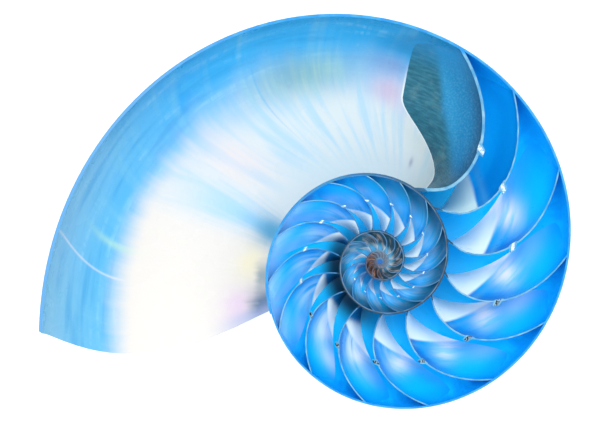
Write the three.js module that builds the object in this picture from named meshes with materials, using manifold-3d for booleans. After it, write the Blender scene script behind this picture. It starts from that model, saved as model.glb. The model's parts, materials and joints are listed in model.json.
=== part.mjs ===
// Half of a chambered nautilus shell, sawn along its plane of symmetry and polished.
// The coiled wall, the septa with their siphon necks and the plug in the umbilicus grew as one
// piece, so the half is one solid: the outside of the coil, hollowed by its chambers. It is built
// on the coil axis with the sawn face on z = 0 and the flank below, then laid on the flank.
// Lengths are millimetres and angles are degrees, counted the way the shell grows, from 0 at the
// right of the sawn face. The venter is the outer edge of the coil and the dorsum the inner one.
import * as THREE from "three";
import { mergeVertices } from "three/addons/utils/BufferGeometryUtils.js";
import Module from "manifold-3d";

// The coil: a spiral that grows by the same ratio each turn, with a flare near the mouth
const VENTER_RADIUS = 59;
const GROWTH_PER_RADIAN = 0.16484;
const FLARE = 0.01454;
const FLARE_FROM = 71;
const LIP_AT_VENTER = 191.5;
const LIP_SINUS = 14;
const LIP_BLEND_FROM = 100;

// The whorl section, as shares of the venter radius
const WIDEST_AT = 0.43;
const HALF_BREADTH = 0.37;
const UMBILICUS_RADIUS = 0.1;
const UMBILICUS_DEPTH = 0.16;
const PLUG = { radius: 11.5, depth: 12.5, rim: 6, root: 1, sides: 24, domeSteps: 4 };

// Thicknesses, each a base plus a share of the venter radius
const WALL = { base: 0.35, share: 0.009 };
const SEPTUM = { base: 0.3, share: 0.005 };
const LAST_SEPTUM_EXTRA = 0.6;
const DORSAL_LAYER = 0.2;
const BODY_CHAMBER_LAYER = 0.15;

// The septa, from the last one inward: where each meets the venter, and the shape of its dish
const LAST_SEPTUM_AT = 70;
const SEPTUM_GAPS = [
  17, 24.6, 25.4, 22, 26, 25.3, 24.6, 25.2, 24, 23.4, 24.8, 22.3, 21.3,
  23.4, 23, 22.4, 24.2, 23, 23, 25.2, 26.8, 27.4, 29,
];
const INNER_GAP = 29;
const COIL_START = -890;
const DISH = { depth: 24.5, centre: 0.32, power: 1.75 };
const DORSAL_CURL = { last: 19, fade: 2, least: 5, power: 3 };
const SUTURE = { lateral: 12.5, umbilical: -15, ventralFall: [0.9, 1] };
const SUTURE_RISE = { last: [0.03, 0.5], others: [-0.2, 1] };
const FLANK_BEND = { dorsal: 1.2, ventral: 2, between: [0.25, 0.45] };
const LEAST_FLANK_SHARE = 0.03;

// The siphon necks, as shares of the venter radius, and where across the whorl they stand
const NECK_AT = 0.53;
const NECK_BORE = { root: 0.024, tip: 0.014 };
const NECK_WALL = 0.012;
const NECK_LENGTH = 0.05;
const NECK_COLLAR = 0.012;
const BORE_OVERRUN = 0.03;
const SMALLEST_NECKED_RADIUS = 36;
const NECK_SIDES = 4;
const NECK_OVERSHOOT = 20;

const DEGREE = Math.PI / 180;
const { smoothstep, lerp, clamp } = THREE.MathUtils;
const DORSUM = Math.exp(-2 * Math.PI * GROWTH_PER_RADIAN);
const NECK_X = lerp(DORSUM, 1, NECK_AT);

// Everything overshoots the sawn face by this turn of the section, and is then sawn off flat
const OVERSHOOT = -3;
const OVERSHOOT_Y = HALF_BREADTH * Math.sin(OVERSHOOT * DEGREE);
const DORSAL_OVERSHOOT = OVERSHOOT / DORSUM;

function venterRadius(angle) {
  const flare = Math.max(0, angle - FLARE_FROM) * DEGREE;
  return VENTER_RADIUS * Math.exp(GROWTH_PER_RADIAN * angle * DEGREE + FLARE * flare ** 2);
}

function breadthRadius(angle) {
  return VENTER_RADIUS * Math.exp(GROWTH_PER_RADIAN * angle * DEGREE);
}

const thickness = ({ base, share }, radius) => base + share * radius;

// A point of the whorl section: x out from the coil axis, y down from the sawn face. The round
// runs from the venter at 0 over the widest line at 90 to the edge of the umbilicus at 180.
function sectionPoint(round) {
  const turn = round * DEGREE;
  const span = round <= 90 ? 1 - WIDEST_AT : WIDEST_AT - UMBILICUS_RADIUS;
  const floor = round <= 90 ? 0 : UMBILICUS_DEPTH;
  const x = WIDEST_AT + span * Math.cos(turn);
  return new THREE.Vector2(x, floor + (HALF_BREADTH - floor) * Math.sin(turn));
}

function insetPoint(round, inset) {
  const step = 0.5;
  const along = sectionPoint(round + step).sub(sectionPoint(round - step));
  const outward = new THREE.Vector2(along.y, -along.x).normalize();
  return sectionPoint(round).addScaledVector(outward, -inset);
}

function place(angle, { x, y }) {
  const reach = x * venterRadius(angle);
  const turn = angle * DEGREE;
  return new THREE.Vector3(reach * Math.cos(turn), reach * Math.sin(turn), -y * breadthRadius(angle));
}

const wasm = await Module();
wasm.setup();

function solidOf(geometry) {
  const merged = mergeVertices(geometry);
  const corners = merged.index.array;
  const kept = [];
  for (let face = 0; face < corners.length; face += 3) {
    const [a, b, c] = corners.slice(face, face + 3);
    if (a !== b && b !== c && c !== a) kept.push(a, b, c);
  }
  const vertProperties = new Float32Array(merged.attributes.position.array);
  const triVerts = new Uint32Array(kept);
  return new wasm.Manifold(new wasm.Mesh({ numProp: 3, vertProperties, triVerts }));
}

// A solid from a row of loops with the same even number of points, closed at both ends by a strip
// between the two halves of the end loop. Facing halves are split along the same diagonals.
function loopSolid(loops) {
  const size = loops[0].length;
  const faces = [];
  const quad = (a, b, c, d) => faces.push(a, b, c, a, c, d);
  for (let start = 0; start + size < loops.length * size; start += size) {
    for (let spot = 0; spot < size; spot += 1) {
      const next = (spot + 1) % size;
      const [a, b, c, d] = [start + spot, start + next, start + size + next, start + size + spot];
      if (spot < size / 2) quad(a, b, c, d);
      else quad(b, c, d, a);
    }
  }
  const end = (loops.length - 1) * size;
  for (let spot = 0; spot + 1 < size / 2; spot += 1) {
    const across = size - 1 - spot;
    quad(spot, across, across - 1, spot + 1);
    quad(end + spot, end + spot + 1, end + across - 1, end + across);
  }
  return solidOf(new THREE.BufferGeometry().setFromPoints(loops.flat()).setIndex(faces));
}

// The mouth's edge bows forward from the venter to the flank, and the growth behind it follows
function bowedAngle(angle, round) {
  const share = Math.max(0, (angle - LIP_BLEND_FROM) / (LIP_AT_VENTER - LIP_BLEND_FROM));
  return angle + share * LIP_SINUS * Math.sin(clamp(round, 0, 90) * DEGREE) ** 2;
}

// The coil's outside is two stretches, each less than a turn long so that it never meets itself,
// and filled up to the sawn face. The whorls further in are buried in them.
const COIL_STRETCHES = [
  { from: -240, to: 12, steps: 32 },
  { from: 12, to: LIP_AT_VENTER, steps: 25 },
];
const COIL_ROUNDS = [OVERSHOOT, 10, 22, 36, 52, 68, 82, 96, 113, 134, 156, 180];

function filledCoil({ from, to, steps }) {
  const loops = [];
  for (let step = 0; step <= steps; step += 1) {
    const angle = lerp(from, to, step / steps);
    const outside = COIL_ROUNDS.map((round) => [bowedAngle(angle, round), sectionPoint(round)]);
    const top = outside.map(([bowed, { x }]) => place(bowed, { x, y: OVERSHOOT_Y }));
    loops.push([...outside.map(([bowed, point]) => place(bowed, point)), ...top.toReversed()]);
  }
  return loopSolid(loops);
}

// The plug is a dome over a cylinder that the whorls around it bury
function umbilicalPlug() {
  const outline = [];
  for (let step = 0; step <= PLUG.domeSteps; step += 1) {
    const turn = 90 * step / PLUG.domeSteps * DEGREE;
    const crown = (PLUG.depth - PLUG.rim) * Math.cos(turn);
    outline.push(new THREE.Vector2(PLUG.radius * Math.sin(turn), -PLUG.rim - crown));
  }
  outline.push(new THREE.Vector2(PLUG.radius, PLUG.root), new THREE.Vector2(0, PLUG.root));
  const lathe = new THREE.LatheGeometry(outline, PLUG.sides).rotateX(Math.PI / 2);
  lathe.deleteAttribute("normal");
  lathe.deleteAttribute("uv");
  return solidOf(lathe);
}

// Rungs across the inside of a whorl: each runs from the sawn face or the whorl inside it, out to
// the wall. Shares run along the sawn face from the venter to the dorsum.
const FINE_RUNGS = {
  wall: [OVERSHOOT, 13, 28, 44, 61, 79, 99, 124, 148],
  sawn: [0, 0.25, 0.5, 0.77],
  dorsal: [DORSAL_OVERSHOOT, 20, 45, 72, 99],
};
const TINY_RUNGS = {
  wall: [OVERSHOOT, 30, 62, 95, 140],
  sawn: [0, 0.5],
  dorsal: [DORSAL_OVERSHOOT, 40, 90],
};

function rungsAt(angle, { wall, sawn, dorsal }, extraInset) {
  const radius = venterRadius(angle);
  const innerRadius = breadthRadius(angle) * DORSUM;
  const inset = (thickness(WALL, radius) + extraInset) / radius;
  const layer = (DORSAL_LAYER + extraInset) / innerRadius;
  const outer = wall.map((round) => insetPoint(round, inset));
  const below = dorsal.map((round) => {
    const point = insetPoint(round, -layer);
    return new THREE.Vector2(point.x * innerRadius / radius, point.y * DORSUM);
  });
  const inner = sawn.map((share) => new THREE.Vector2(lerp(outer[0].x, below[0].x, share), OVERSHOOT_Y));
  inner.push(...below);
  return outer.map((point, index) => ({ outer: point, inner: inner[index] }));
}

// How far a septum stands ahead of the angle where it meets the venter, at a point of the section
function septumLead({ x, y }, { curl, sutureRise }) {
  const across = Math.max(0, (x - DORSUM) / (1 - DORSUM));
  const ventral = Math.max(0, (across - DISH.centre) / (1 - DISH.centre));
  const dorsal = Math.max(0, (DISH.centre - across) / DISH.centre);
  const middle = DISH.depth * (ventral ** DISH.power - 1) + curl * dorsal ** DORSAL_CURL.power;
  const fromWidest = (x - WIDEST_AT) / (1 - WIDEST_AT);
  const lateral = lerp(SUTURE.umbilical, SUTURE.lateral, smoothstep(fromWidest, ...sutureRise));
  const suture = lateral * (1 - smoothstep(fromWidest, ...SUTURE.ventralFall));
  const flankShare = Math.sqrt(Math.max(0, 1 - Math.max(0, fromWidest) ** 2));
  const flank = HALF_BREADTH * Math.max(LEAST_FLANK_SHARE, flankShare);
  const bend = lerp(FLANK_BEND.dorsal, FLANK_BEND.ventral, smoothstep(across, ...FLANK_BEND.between));
  return lerp(middle, suture, clamp(y / flank, 0, 1) ** bend);
}

// The angle of a septum's face, half its thickness before (-1) or behind (1) its middle surface
function faceAngle(septum, point, side) {
  const lead = septumLead(point, septum);
  const step = 0.01;
  const slopeX = septumLead({ x: point.x + step, y: point.y }, septum) - lead;
  const slopeY = septumLead({ x: point.x, y: point.y + step }, septum) - lead;
  const slope = point.x * Math.hypot(slopeX, slopeY) * DEGREE / step;
  const halfTurn = septum.thickness / 2 * Math.hypot(1, slope) / (point.x * septum.radius) / DEGREE;
  return septum.angle + lead + side * halfTurn;
}

// The hollow between a septum's face and the face that closes it toward the mouth. Each face has
// its rungs, and an angle for each point of them. The walls between have a point at each middle.
function chamber(ahead, behind, { shares, middles }) {
  const loops = ahead.rungs.map((_, index) => {
    const row = ({ rungs, angleAt }) => shares.map((share) => {
      const point = rungs[index].inner.clone().lerp(rungs[index].outer, share);
      return { point, angle: angleAt(point) };
    });
    const front = row(ahead);
    const back = row(behind);
    const at = (spot, share) => {
      const point = front.at(spot).point.clone().lerp(back.at(spot).point, share);
      return place(lerp(front.at(spot).angle, back.at(spot).angle, share), point);
    };
    const [first, second] = middles;
    const frontRow = front.map((_, spot) => at(spot, 0));
    const backRow = back.map((_, spot) => at(spot, 1)).toReversed();
    return [at(0, first), ...frontRow, at(-1, first), at(-1, second), ...backRow, at(0, second)];
  });
  return loopSolid(loops);
}

// The living chamber, from just ahead of the last septum out past the lip
const BODY_CHAMBER_FROM = 96;
const BODY_CHAMBER_JOIN = 99;
const PAST_LIP = 14;
const BODY_CHAMBER_STEPS = 15;

function bodyChamber() {
  const loops = [];
  for (let step = 0; step <= BODY_CHAMBER_STEPS; step += 1) {
    const angle = lerp(BODY_CHAMBER_FROM, LIP_AT_VENTER + PAST_LIP, step / BODY_CHAMBER_STEPS);
    const rungs = rungsAt(angle, FINE_RUNGS, BODY_CHAMBER_LAYER);
    const spot = (point, index) => place(bowedAngle(angle, FINE_RUNGS.wall[index]), point);
    const outer = rungs.map((rung, index) => spot(rung.outer, index));
    const inner = rungs.map((rung, index) => spot(rung.inner, index));
    loops.push([...outer, ...inner.toReversed()]);
  }
  return loopSolid(loops);
}

// A half cone along the siphon through a septum, from ahead of it to behind it
function siphonCone(septum, rootRadius, tipRadius, ahead, behind) {
  const loops = [];
  for (let side = 0; side <= NECK_SIDES; side += 1) {
    const turn = lerp(-NECK_OVERSHOOT, 180 + NECK_OVERSHOOT, side / NECK_SIDES) * DEGREE;
    const spot = (radius, length) => {
      const lift = radius === 0 ? OVERSHOOT_Y : 0;
      const point = { x: NECK_X + radius * Math.cos(turn), y: radius * Math.sin(turn) + lift };
      return place(septum.angle + septumLead(point, septum) - length / NECK_X / DEGREE, point);
    };
    loops.push([spot(0, -ahead), spot(rootRadius, -ahead), spot(tipRadius, behind), spot(0, behind)]);
  }
  return loopSolid(loops);
}

// The smaller the whorl, the plainer its chambers
const DETAILS = [
  { above: 15, rungs: FINE_RUNGS, shares: [0, 0.35, 0.7, 1], middles: [1 / 3, 2 / 3] },
  { above: 0, rungs: TINY_RUNGS, shares: [0, 0.5, 1], middles: [0.5, 0.5] },
];

// A septum between a finer and a plainer chamber is thicker, so that its two faces stay apart
const DETAIL_STEP_SHARE = 0.03;

function septaList() {
  const septa = [];
  let angle = LAST_SEPTUM_AT;
  for (let index = 0; angle > COIL_START; index += 1) {
    const radius = venterRadius(angle - DISH.depth);
    const detail = DETAILS.find(({ above }) => radius > above);
    const stepped = index > 0 && detail !== septa[index - 1].detail;
    const extra = (index === 0 ? LAST_SEPTUM_EXTRA : 0) + (stepped ? DETAIL_STEP_SHARE * radius : 0);
    const curl = Math.max(DORSAL_CURL.least, DORSAL_CURL.last - DORSAL_CURL.fade * index);
    const sutureRise = index === 0 ? SUTURE_RISE.last : SUTURE_RISE.others;
    septa.push({ angle, radius, curl, sutureRise, detail, thickness: thickness(SEPTUM, radius) + extra });
    angle -= SEPTUM_GAPS[index] ?? INNER_GAP;
  }
  return septa;
}

function septumFace(septum, side, detail) {
  const rungs = rungsAt(septum.angle - DISH.depth, detail.rungs, 0);
  return { rungs, angleAt: (point) => faceAngle(septum, point, side) };
}

function hollowShell() {
  const septa = septaList();
  let shell = umbilicalPlug();
  for (const stretch of COIL_STRETCHES) shell = shell.add(filledCoil(stretch));
  const joinFace = { rungs: rungsAt(LAST_SEPTUM_AT, FINE_RUNGS, 0), angleAt: () => BODY_CHAMBER_JOIN };
  shell = shell.subtract(chamber(joinFace, septumFace(septa[0], 1, DETAILS[0]), DETAILS[0]));
  shell = shell.subtract(bodyChamber());
  for (let index = 1; index < septa.length; index += 1) {
    const { detail } = septa[index - 1];
    const front = septumFace(septa[index - 1], -1, detail);
    const back = septumFace(septa[index], 1, detail);
    shell = shell.subtract(chamber(front, back, detail));
  }
  for (const septum of septa.filter(({ radius }) => radius > SMALLEST_NECKED_RADIUS)) {
    const { root, tip } = NECK_BORE;
    shell = shell.add(siphonCone(septum, root + NECK_WALL, tip + NECK_WALL, NECK_COLLAR, NECK_LENGTH));
    shell = shell.subtract(siphonCone(septum, root, tip, BORE_OVERRUN, NECK_LENGTH + BORE_OVERRUN));
  }
  return shell;
}

// The saw cut takes off all that stands above the plane of symmetry
const WASTE = { side: 400, height: 40 };

function sawn(shell) {
  const waste = new THREE.BoxGeometry(WASTE.side, WASTE.side, WASTE.height).translate(0, 0, WASTE.height / 2);
  waste.deleteAttribute("normal");
  waste.deleteAttribute("uv");
  return shell.subtract(solidOf(waste));
}

function geometryOf(solid) {
  const mesh = solid.getMesh();
  const geometry = new THREE.BufferGeometry();
  geometry.setAttribute("position", new THREE.BufferAttribute(new Float32Array(mesh.vertProperties), 3));
  geometry.setIndex(new THREE.BufferAttribute(new Uint32Array(mesh.triVerts), 1));
  return geometry;
}

function centreOfMass(geometry) {
  const corner = (index) => new THREE.Vector3().fromBufferAttribute(geometry.attributes.position, index);
  const centre = new THREE.Vector3();
  const index = geometry.index.array;
  let total = 0;
  for (let face = 0; face < index.length; face += 3) {
    const [a, b, c] = [corner(index[face]), corner(index[face + 1]), corner(index[face + 2])];
    const volume = a.dot(b.clone().cross(c)) / 6;
    centre.addScaledVector(a.add(b).add(c), volume / 4);
    total += volume;
  }
  return centre.divideScalar(total);
}

// The half lies with its flank down, leaned in ever smaller steps to where its centre of mass
// stands lowest
const FIRST_LEAN = 0.1;
const LEAST_LEAN = 1e-6;
const LEAN_TRIALS = 120;

function restingTurn(geometry) {
  const centre = centreOfMass(geometry);
  const corners = geometry.attributes.position;
  const corner = new THREE.Vector3();
  const heightOver = (down) => {
    let height = 0;
    for (let index = 0; index < corners.count; index += 1) {
      height = Math.max(height, corner.fromBufferAttribute(corners, index).sub(centre).dot(down));
    }
    return height;
  };
  const straightDown = new THREE.Vector3(0, 0, -1);
  let best = { down: straightDown, height: heightOver(straightDown) };
  let step = FIRST_LEAN;
  while (step > LEAST_LEAN) {
    const trials = [];
    for (let trial = 0; trial < LEAN_TRIALS; trial += 1) {
      const turn = 2 * Math.PI * trial / LEAN_TRIALS;
      const lean = new THREE.Vector3(Math.cos(turn), Math.sin(turn), 0);
      const down = best.down.clone().addScaledVector(lean, step).normalize();
      trials.push({ down, height: heightOver(down) });
    }
    trials.sort((one, other) => one.height - other.height);
    if (trials[0].height < best.height) [best] = trials;
    else step /= 2;
  }
  return new THREE.Quaternion().setFromUnitVectors(best.down, straightDown);
}

const pearl = new THREE.MeshStandardMaterial({ color: 0x4aa3ea, roughness: 0.25, metalness: 0.15 });
const half = new THREE.Mesh(geometryOf(sawn(hollowShell())), pearl);
half.name = "shell_half";

// Laid on its flank, with the origin under the middle of its box
const laid = new THREE.Group();
laid.add(half);
laid.quaternion.copy(restingTurn(half.geometry));
laid.updateMatrixWorld(true);
const box = new THREE.Box3().setFromObject(half, true);
const middle = box.getCenter(new THREE.Vector3());
laid.position.set(-middle.x, -middle.y, -box.min.z);

const object = new THREE.Group();
object.add(laid);

export default object;
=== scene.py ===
import inspect
import json
import math

import bmesh
import bpy
from mathutils import Matrix, Vector


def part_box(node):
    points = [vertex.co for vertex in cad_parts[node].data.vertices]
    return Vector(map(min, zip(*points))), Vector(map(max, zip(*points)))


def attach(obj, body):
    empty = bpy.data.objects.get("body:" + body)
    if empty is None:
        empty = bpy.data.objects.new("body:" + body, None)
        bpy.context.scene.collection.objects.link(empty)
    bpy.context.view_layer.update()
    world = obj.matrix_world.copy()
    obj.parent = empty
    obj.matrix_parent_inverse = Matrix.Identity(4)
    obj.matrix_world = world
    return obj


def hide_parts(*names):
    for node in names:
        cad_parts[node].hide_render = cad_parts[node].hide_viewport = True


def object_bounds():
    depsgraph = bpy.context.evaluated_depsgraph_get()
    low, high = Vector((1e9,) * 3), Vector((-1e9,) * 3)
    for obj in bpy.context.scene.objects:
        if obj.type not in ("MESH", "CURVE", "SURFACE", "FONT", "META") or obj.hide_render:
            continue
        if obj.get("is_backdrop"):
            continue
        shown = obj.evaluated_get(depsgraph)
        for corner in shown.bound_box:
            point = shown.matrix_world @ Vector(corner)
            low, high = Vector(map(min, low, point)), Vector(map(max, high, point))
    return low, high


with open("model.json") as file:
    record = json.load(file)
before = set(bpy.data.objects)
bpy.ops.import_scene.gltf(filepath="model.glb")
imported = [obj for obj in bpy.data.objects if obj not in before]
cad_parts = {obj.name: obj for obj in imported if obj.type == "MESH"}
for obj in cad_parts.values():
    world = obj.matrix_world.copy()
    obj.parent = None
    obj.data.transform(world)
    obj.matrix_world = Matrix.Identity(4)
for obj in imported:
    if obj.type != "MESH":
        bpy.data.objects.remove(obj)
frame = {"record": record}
cad_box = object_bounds()

# The growth of the shell. A nautilus adds pearl at its mouth in one fixed ratio, so one spiral and
# one whorl section give every wall. Lengths are millimetres, angles are degrees from the right of
# the sawn face in the way of growth, and shares are of the venter's radius.
MILLIMETRE = 0.001
DEGREE = math.pi / 180
FULL_TURN = 2 * math.pi
FLANK_TURN = 90
SIZES = {
    "Venter radius": 59.0,
    "Growth per radian": 0.16484,
    "Flare": 0.01454,
    "Flare from": 71.0,
    "Lip": 191.5,
    "Lip bow": 14.0,
    "Lip bow from": 100.0,
    "Widest at": 0.43,
    "Half breadth": 0.37,
    "Umbilicus radius": 0.1,
    "Umbilicus depth": 0.16,
}
trees = []


class Number:
    """A number that a node tree works out at every point of the mesh, written as arithmetic."""

    def __init__(self, socket):
        self.socket = socket

    def __add__(self, other):
        return work("ADD", self, other)

    def __radd__(self, other):
        return work("ADD", other, self)

    def __sub__(self, other):
        return work("SUBTRACT", self, other)

    def __rsub__(self, other):
        return work("SUBTRACT", other, self)

    def __mul__(self, other):
        return work("MULTIPLY", self, other)

    def __rmul__(self, other):
        return work("MULTIPLY", other, self)

    def __truediv__(self, other):
        return work("DIVIDE", self, other)

    def __rtruediv__(self, other):
        return work("DIVIDE", other, self)

    def __pow__(self, other):
        return work("POWER", self, other)


def feed(socket, value):
    if isinstance(value, Number):
        value = value.socket
    if isinstance(value, bpy.types.NodeSocket):
        trees[-1].links.new(value, socket)
    elif value is not None:
        socket.default_value = value


def add_node(kind, *values, **settings):
    node = trees[-1].nodes.new(kind)
    for name, setting in settings.items():
        setattr(node, name, setting)
    for socket, value in zip(node.inputs, values):
        feed(socket, value)
    return node


def work(operation, *values):
    return Number(add_node("ShaderNodeMath", *values, operation=operation).outputs[0])


def most(one, other):
    return work("MAXIMUM", one, other)


def least(one, other):
    return work("MINIMUM", one, other)


def above(value, limit):
    return work("GREATER_THAN", value, limit)


def exp(value):
    return work("EXPONENT", value)


def sin(degrees):
    return work("SINE", degrees * DEGREE)


def cos(degrees):
    return work("COSINE", degrees * DEGREE)


def hypot(one, other):
    return work("SQRT", one * one + other * other)


def mix(start, end, share):
    return start + (end - start) * share


def size(name):
    tree = trees[-1]
    if name not in tree.interface.items_tree:
        socket = tree.interface.new_socket(name, in_out="INPUT", socket_type="NodeSocketFloat")
        socket.default_value = SIZES[name]
    return Number(tree.nodes["Group Input"].outputs[name])


def rule(function):
    """Makes a rule of growth a node group, drawn at its first use, that the sizes are handed on to."""
    names = list(inspect.signature(function).parameters)
    groups = []

    def draw():
        group = bpy.data.node_groups.new(function.__name__.replace("_", " "), "GeometryNodeTree")
        for name in names:
            group.interface.new_socket(name, in_out="INPUT", socket_type="NodeSocketFloat")
        trees.append(group)
        entry = add_node("NodeGroupInput")
        results = function(*[Number(entry.outputs[name]) for name in names])
        for result in results:
            group.interface.new_socket("result", in_out="OUTPUT", socket_type="NodeSocketFloat")
        add_node("NodeGroupOutput", *results)
        trees.pop()
        return group

    def use(*values):
        if not groups:
            groups.append(draw())
        node = add_node("GeometryNodeGroup", node_tree=groups[0])
        for socket in node.inputs:
            own = socket.name in names
            feed(socket, values[names.index(socket.name)] if own else size(socket.name))
        results = [Number(output) for output in node.outputs]
        return results if len(results) > 1 else results[0]

    return use


@rule
def breadth_radius(angle):
    return size("Venter radius") * exp(size("Growth per radian") * angle * DEGREE),


@rule
def venter_radius(angle):
    flare = most(angle - size("Flare from"), 0) * DEGREE
    return breadth_radius(angle) * exp(size("Flare") * flare * flare),


@rule
def bowed_angle(angle, turn):
    share = most((angle - size("Lip bow from")) / (size("Lip") - size("Lip bow from")), 0)
    bow = sin(least(most(turn, 0), FLANK_TURN))
    return angle + share * size("Lip bow") * bow * bow,


@rule
def section(turn, inset):
    past = above(turn, FLANK_TURN)
    span = mix(1 - size("Widest at"), size("Widest at") - size("Umbilicus radius"), past)
    floor_y = size("Umbilicus depth") * past
    depth = size("Half breadth") - floor_y
    normal_x = depth * cos(turn)
    normal_y = span * sin(turn)
    shift = inset / hypot(normal_x, normal_y)
    x = size("Widest at") + span * cos(turn) - normal_x * shift
    y = floor_y + depth * sin(turn) - normal_y * shift
    return x, y


@rule
def place(angle, x, y):
    reach = x * venter_radius(angle)
    return reach * cos(angle), reach * sin(angle), y * breadth_radius(angle) * -1


growth = bpy.data.node_groups.new("shell half", "GeometryNodeTree")
growth.interface.new_socket("Septa", in_out="INPUT", socket_type="NodeSocketGeometry")
growth.interface.new_socket("Shell", in_out="OUTPUT", socket_type="NodeSocketGeometry")
trees.append(growth)
given = add_node("NodeGroupInput")


# The septa: thin dished walls of pearl, laid one behind the other as the animal moved forward. They
# are listed from the last one inward, by the angle where each meets the venter. The last gap is
# short and the last septum thick, as in a grown shell.
SIZES.update({
    "Dish depth": 24.5,
    "Dish centre": 0.32,
    "Dish power": 1.75,
    "Lateral suture": 12.5,
    "Umbilical suture": -15.0,
    "Dorsal bend": 1.2,
    "Ventral bend": 2.0,
})
LAST_SEPTUM_AT = 70
SEPTUM_GAPS = [
    17, 24.6, 25.4, 22, 26, 25.3, 24.6, 25.2, 24, 23.4, 24.8, 22.3, 21.3,
    23.4, 23, 22.4, 24.2, 23, 23, 25.2, 26.8, 27.4, 29,
]
INNER_GAP = 29
COIL_START = -1190
SEPTUM = 0.2
SEPTUM_SHARE = 0.004
LAST_SEPTUM_EXTRA = 0.45
THICKEST = 0.06
DORSAL_CURL = 19
DORSAL_POWER = 3
CURL_FADE = 2
LEAST_CURL = 5
LAST_SUTURE_RISES = (0.03, 0.5)
SUTURE_RISES = (-0.2, 1)
SUTURE_END = (0.9, 1)
BEND_CHANGE = (0.25, 0.45)
LEAST_FLANK = 0.03
SLOPE_STEP = 0.01
SEPTUM_FACTS = ("angle", "curl", "rise from", "rise to", "thickness", "radius")


def septum_thickness(radius):
    return min(SEPTUM + SEPTUM_SHARE * radius, radius * THICKEST)


def septa_list():
    septa = []
    angle = LAST_SEPTUM_AT
    while angle > COIL_START:
        order = len(septa)
        turn = (angle - SIZES["Dish depth"]) * DEGREE
        radius = SIZES["Venter radius"] * math.exp(SIZES["Growth per radian"] * turn)
        curl = max(LEAST_CURL, DORSAL_CURL - CURL_FADE * order)
        extra = LAST_SEPTUM_EXTRA if order == 0 else 0
        rises = SUTURE_RISES if order else LAST_SUTURE_RISES
        septa.append((angle, curl, *rises, septum_thickness(radius) + extra, radius))
        angle -= SEPTUM_GAPS[order] if order < len(SEPTUM_GAPS) else INNER_GAP
    return septa


def seed_facts(mesh, prefix, septa):
    for name, values in zip(SEPTUM_FACTS, zip(*septa)):
        facts = mesh.attributes.new(prefix + name, "FLOAT", "POINT")
        facts.data.foreach_set("value", values)


def ease(value, low, high):
    share = least(most((value - low) / (high - low), 0), 1)
    return share * share * (3 - 2 * share)


def dorsum():
    """The share where the whorl before lies."""
    return exp(size("Growth per radian") * -FULL_TURN)


@rule
def septum_lead(x, y, curl, rise_from, rise_to):
    across = most((x - dorsum()) / (1 - dorsum()), 0)
    ventral = most((across - size("Dish centre")) / (1 - size("Dish centre")), 0)
    dorsal = most((size("Dish centre") - across) / size("Dish centre"), 0)
    dish = size("Dish depth") * (ventral ** size("Dish power") - 1)
    middle = dish + curl * dorsal ** DORSAL_POWER
    from_widest = (x - size("Widest at")) / (1 - size("Widest at"))
    lateral = mix(size("Umbilical suture"), size("Lateral suture"), ease(from_widest, rise_from, rise_to))
    suture = lateral * (1 - ease(from_widest, *SUTURE_END))
    toward_venter = most(from_widest, 0)
    flank_share = work("SQRT", most(1 - toward_venter * toward_venter, 0))
    flank = size("Half breadth") * most(flank_share, LEAST_FLANK)
    down = least(most(y / flank, 0), 1)
    bend = mix(size("Dorsal bend"), size("Ventral bend"), ease(across, *BEND_CHANGE))
    return mix(middle, suture, down ** bend),


@rule
def septum_face(angle, curl, rise_from, rise_to, thickness, radius, x, y, side):
    lead = septum_lead(x, y, curl, rise_from, rise_to)
    slope_x = septum_lead(x + SLOPE_STEP, y, curl, rise_from, rise_to) - lead
    slope_y = septum_lead(x, y + SLOPE_STEP, curl, rise_from, rise_to) - lead
    slope = x * hypot(slope_x, slope_y) * (DEGREE / SLOPE_STEP)
    half_turn = thickness / 2 * hypot(slope, 1) / (x * radius) / DEGREE
    return angle + lead + half_turn * side,


septa = septa_list()
seeds = bpy.data.meshes.new("shell_half_pearl")
seeds.from_pydata([(0, 0, 0)] * len(septa), [], [])
seed_facts(seeds, "", septa)
seed_facts(seeds, "ahead ", septa[:1] + septa[:-1])


# The rooms: chambers sealed one behind the other, each between two septa. Their pearl is polished
# and dyed a clear blue, deep at the sawn edge of a septum and paler down its dish, with a white
# wedge beside the suture and a rosy sheen, both painted highlights. It is duller in the whorls that are
# older.
SIZES.update({
    "Wall": 0.25,
    "Wall share": 0.007,
    "Dorsal layer": 0.2,
})
SPECULAR = 0.15
RELIEF_STRENGTH = 0.4
ROOM_RELIEF = 0.15
ROOM_POLISH = (0.22, 0.4)
ROOM_MOTTLE = 0.3
ROOM_GRAIN = 3
SRGB_OFFSET = 0.055
SRGB_POWER = 2.4
MIX_FIRST = 6
MIX_SECOND = 7
MIX_RESULT = 2
finishes = {}


def colour(code):
    channels = [int(code[start:start + 2], 16) / 255 for start in (0, 2, 4)]
    return (*[((channel + SRGB_OFFSET) / (1 + SRGB_OFFSET)) ** SRGB_POWER for channel in channels], 1)


def joined(x, y, z):
    return add_node("ShaderNodeCombineXYZ", x, y, z).outputs[0]


def parted(vector):
    return [Number(output) for output in add_node("ShaderNodeSeparateXYZ", vector).outputs]


def painted(name):
    return parted(add_node("ShaderNodeAttribute", attribute_name=name).outputs["Vector"])


def blend(first, second, share):
    node = add_node("ShaderNodeMix", data_type="RGBA")
    feed(node.inputs["Factor"], share)
    feed(node.inputs[MIX_FIRST], first)
    feed(node.inputs[MIX_SECOND], second)
    return node.outputs[MIX_RESULT]


def ramp(value, *stops):
    result = stops[0][1]
    for (low, _), (high, tint) in zip(stops, stops[1:]):
        result = blend(result, tint, ease(value, low, high))
    return result


def cloud(x, y, z, detail=3):
    node = add_node("ShaderNodeTexNoise")
    feed(node.inputs["Vector"], joined(x, y, z))
    node.inputs["Scale"].default_value = 1
    node.inputs["Detail"].default_value = detail
    return Number(node.outputs[0])


def clouded(spot, scale):
    return cloud(*[side * scale for side in spot])


def lined(line, share, along, across, layer, detail=3):
    return cloud(line * along, share * across, layer, detail)


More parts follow.
